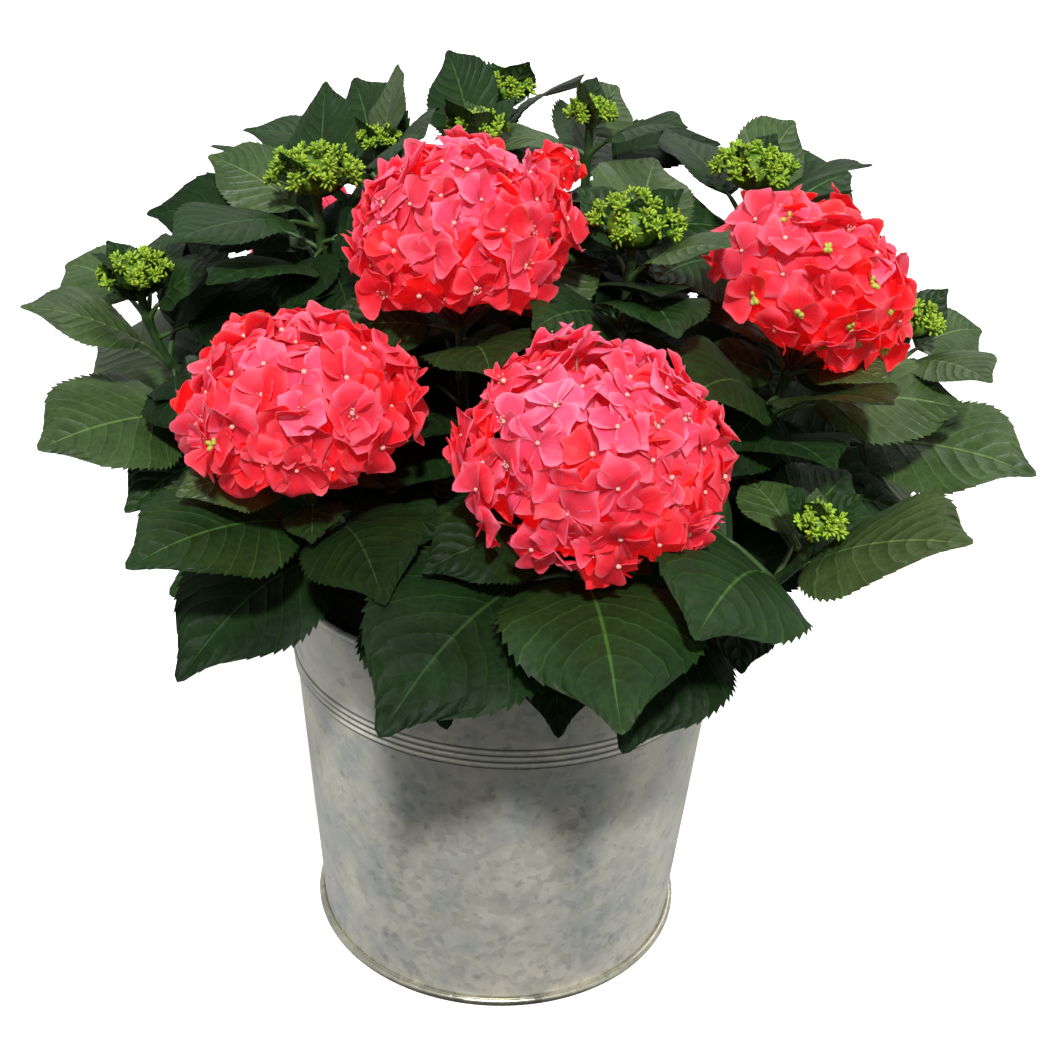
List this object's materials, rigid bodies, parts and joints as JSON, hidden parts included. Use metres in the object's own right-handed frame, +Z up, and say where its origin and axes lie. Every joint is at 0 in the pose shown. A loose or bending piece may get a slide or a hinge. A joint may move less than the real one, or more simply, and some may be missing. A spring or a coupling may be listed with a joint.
{
  "type": "potted hydrangea shrub",
  "caption": "Mophead hydrangea shrub with coral-pink blooms, green bud clusters and broad toothed leaves, growing in a round tapered galvanised metal pot.",
  "frame": {"origin": "middle of the pot's flat underside", "axes": "+Z up through the pot; -Y is the side with the widest show of blooms; +X to the viewer's right when the viewer faces that side"},
  "size_m": [0.5331, 0.5689, 0.5347],
  "materials": {
    "pot": "zinc-galvanised sheet steel, mottled spangle, satin",
    "soil": "dark moist potting mix, matte",
    "cane": "thin brown bark, matte",
    "leaves": "dark green leaves with a satin sheen and lime green bud clusters",
    "petals": "coral-pink petals, matte"
  },
  "bodies": {
    "root": {"pot_base": "pot", "pot_wall": "pot", "potting_soil": "soil", "cane_front": "cane", "cane_front_right": "cane", "cane_left": "cane", "cane_left_low": "cane", "cane_right": "cane", "cane_right_low": "cane", "cane_crown": "cane", "cane_centre": "cane", "cane_upper_right": "cane", "cane_upper_left": "cane", "cane_inner": "cane", "cane_mid_top": "cane", "cane_top_right": "cane", "cane_top": "cane", "cane_top_left": "cane", "cane_back_left": "cane", "cane_back": "cane", "cane_back_right": "cane", "bloom_front": "petals", "bloom_left": "petals", "bloom_right": "petals", "bloom_crown": "petals", "bloom_inner": "petals", "bloom_back_left": "petals", "bloom_back": "petals", "foliage_front": "leaves", "foliage_front_right": "leaves", "foliage_left": "leaves", "foliage_left_low": "leaves", "foliage_right": "leaves", "foliage_right_low": "leaves", "foliage_crown": "leaves", "foliage_centre": "leaves", "foliage_upper_right": "leaves", "foliage_upper_left": "leaves", "foliage_inner": "leaves", "foliage_mid_top": "leaves", "foliage_top_right": "leaves", "foliage_top": "leaves", "foliage_top_left": "leaves", "foliage_back_left": "leaves", "foliage_back": "leaves", "foliage_back_right": "leaves"}
  },
  "joints": []
}
